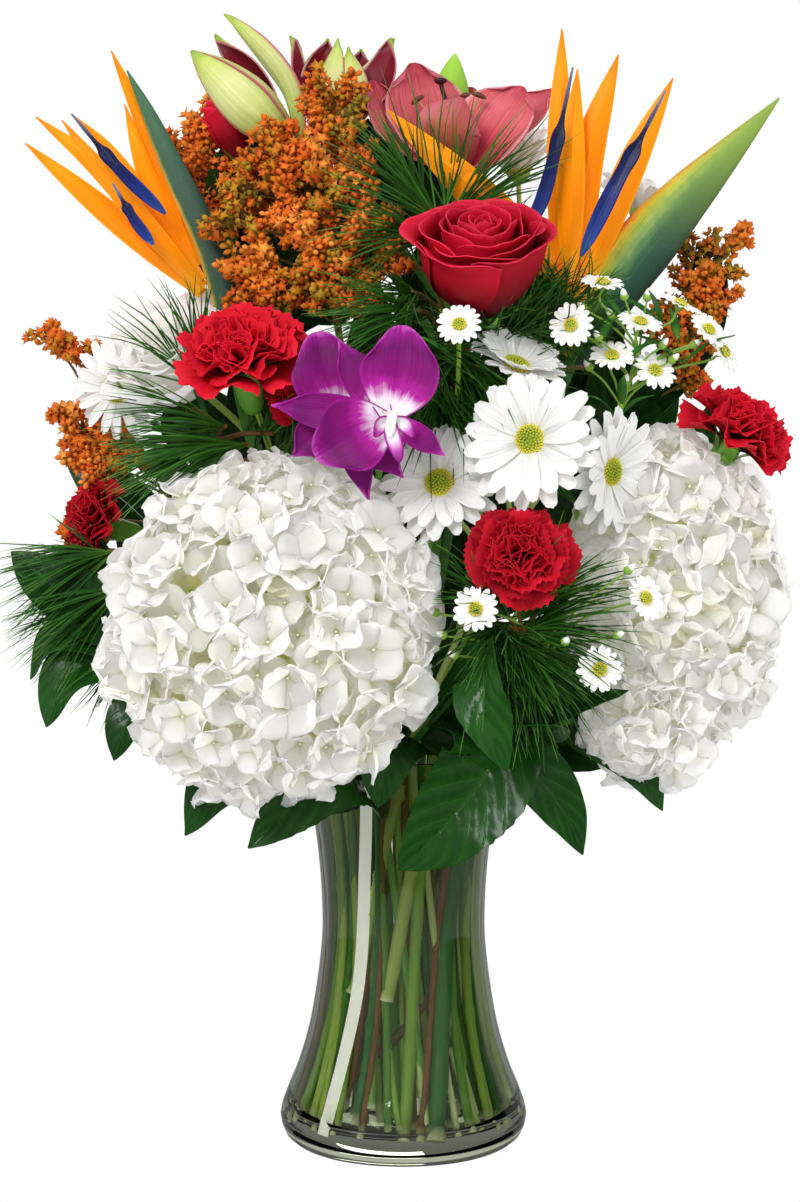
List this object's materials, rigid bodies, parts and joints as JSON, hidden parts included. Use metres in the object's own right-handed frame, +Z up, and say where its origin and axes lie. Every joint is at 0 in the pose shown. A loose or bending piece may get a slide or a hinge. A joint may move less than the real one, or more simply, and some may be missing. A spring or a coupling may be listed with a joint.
{
  "type": "bird of paradise bouquet in a glass vase",
  "caption": "Mixed bouquet with bird of paradise flowers, hydrangeas, roses, carnations, lilies, an orchid and daisies, standing in a waisted clear glass vase.",
  "frame": {"origin": "centre of the vase's flat foot", "axes": "+Z up along the vase, the front of the bouquet looks along -Y"},
  "size_m": [0.4267, 0.2964, 0.635],
  "materials": {
    "aster": "green stalks with small white heads",
    "bird_blue": "ribbed blue-violet tongue with a pale tip",
    "bird_green": "waxy blue-green spathe, yellow along its open edge",
    "bird_orange": "satin orange sepals with paler midlines",
    "carnation_petal": "matt bright red frills",
    "daisy_ray": "white grooved rays round a yellow-green disc",
    "glass": "clear thick glass with a faint grey-green edge",
    "goldenrod": "rust orange knobs on olive branchlets",
    "leaf": "glossy dark green leaves",
    "lily_bud": "lime green with maroon edges",
    "lily_petal": "dusty rose with pale edges",
    "needle": "deep green needles",
    "orchid_petal": "magenta-purple with a paler throat",
    "rose_petal": "velvety deep red",
    "stamen": "dark maroon",
    "stem": "fresh green stems",
    "white_petal": "soft white with cream shadows"
  },
  "bodies": {
    "root": {"aster_left": "aster", "aster_low": "aster", "aster_right": "aster", "bird_left_sepals": "bird_orange", "bird_left_spathe": "bird_green", "bird_left_tongue": "bird_blue", "bird_right_sepals": "bird_orange", "bird_right_spathe": "bird_green", "bird_right_tongue": "bird_blue", "carnation_behind_bloom": "carnation_petal", "carnation_behind_stem": "stem", "carnation_centre_bloom": "carnation_petal", "carnation_centre_stem": "stem", "carnation_far_bloom": "carnation_petal", "carnation_far_stem": "stem", "carnation_front_bloom": "carnation_petal", "carnation_front_stem": "stem", "carnation_right_bloom": "carnation_petal", "carnation_right_stem": "stem", "daisy_back_head": "daisy_ray", "daisy_back_stem": "stem", "daisy_far_head": "daisy_ray", "daisy_front_head": "daisy_ray", "daisy_front_stem": "stem", "daisy_middle_head": "daisy_ray", "daisy_side_head": "daisy_ray", "daisy_top_head": "daisy_ray", "goldenrod_centre": "goldenrod", "goldenrod_left": "goldenrod", "goldenrod_right": "goldenrod", "goldenrod_top": "goldenrod", "hydrangea_left_head": "white_petal", "hydrangea_left_stem": "stem", "hydrangea_right_head": "white_petal", "hydrangea_right_stem": "stem", "leaves_back": "leaf", "leaves_front": "leaf", "leaves_left": "leaf", "leaves_right": "leaf", "lily_bloom": "lily_petal", "lily_half_open": "lily_petal", "lily_left_bud": "lily_bud", "lily_stamens": "stamen", "lily_stem": "stem", "orchid_back_bloom": "orchid_petal", "orchid_bloom": "orchid_petal", "orchid_lip": "white_petal", "orchid_stem": "stem", "pine_centre": "needle", "pine_left": "needle", "pine_low": "needle", "pine_low_left": "needle", "rose_bloom": "rose_petal", "rose_stem": "stem", "rosebud_bloom": "rose_petal", "rosebud_stem": "stem", "vase": "glass", "white_rose_bloom": "white_petal", "white_rose_stem": "stem"}
  },
  "joints": []
}
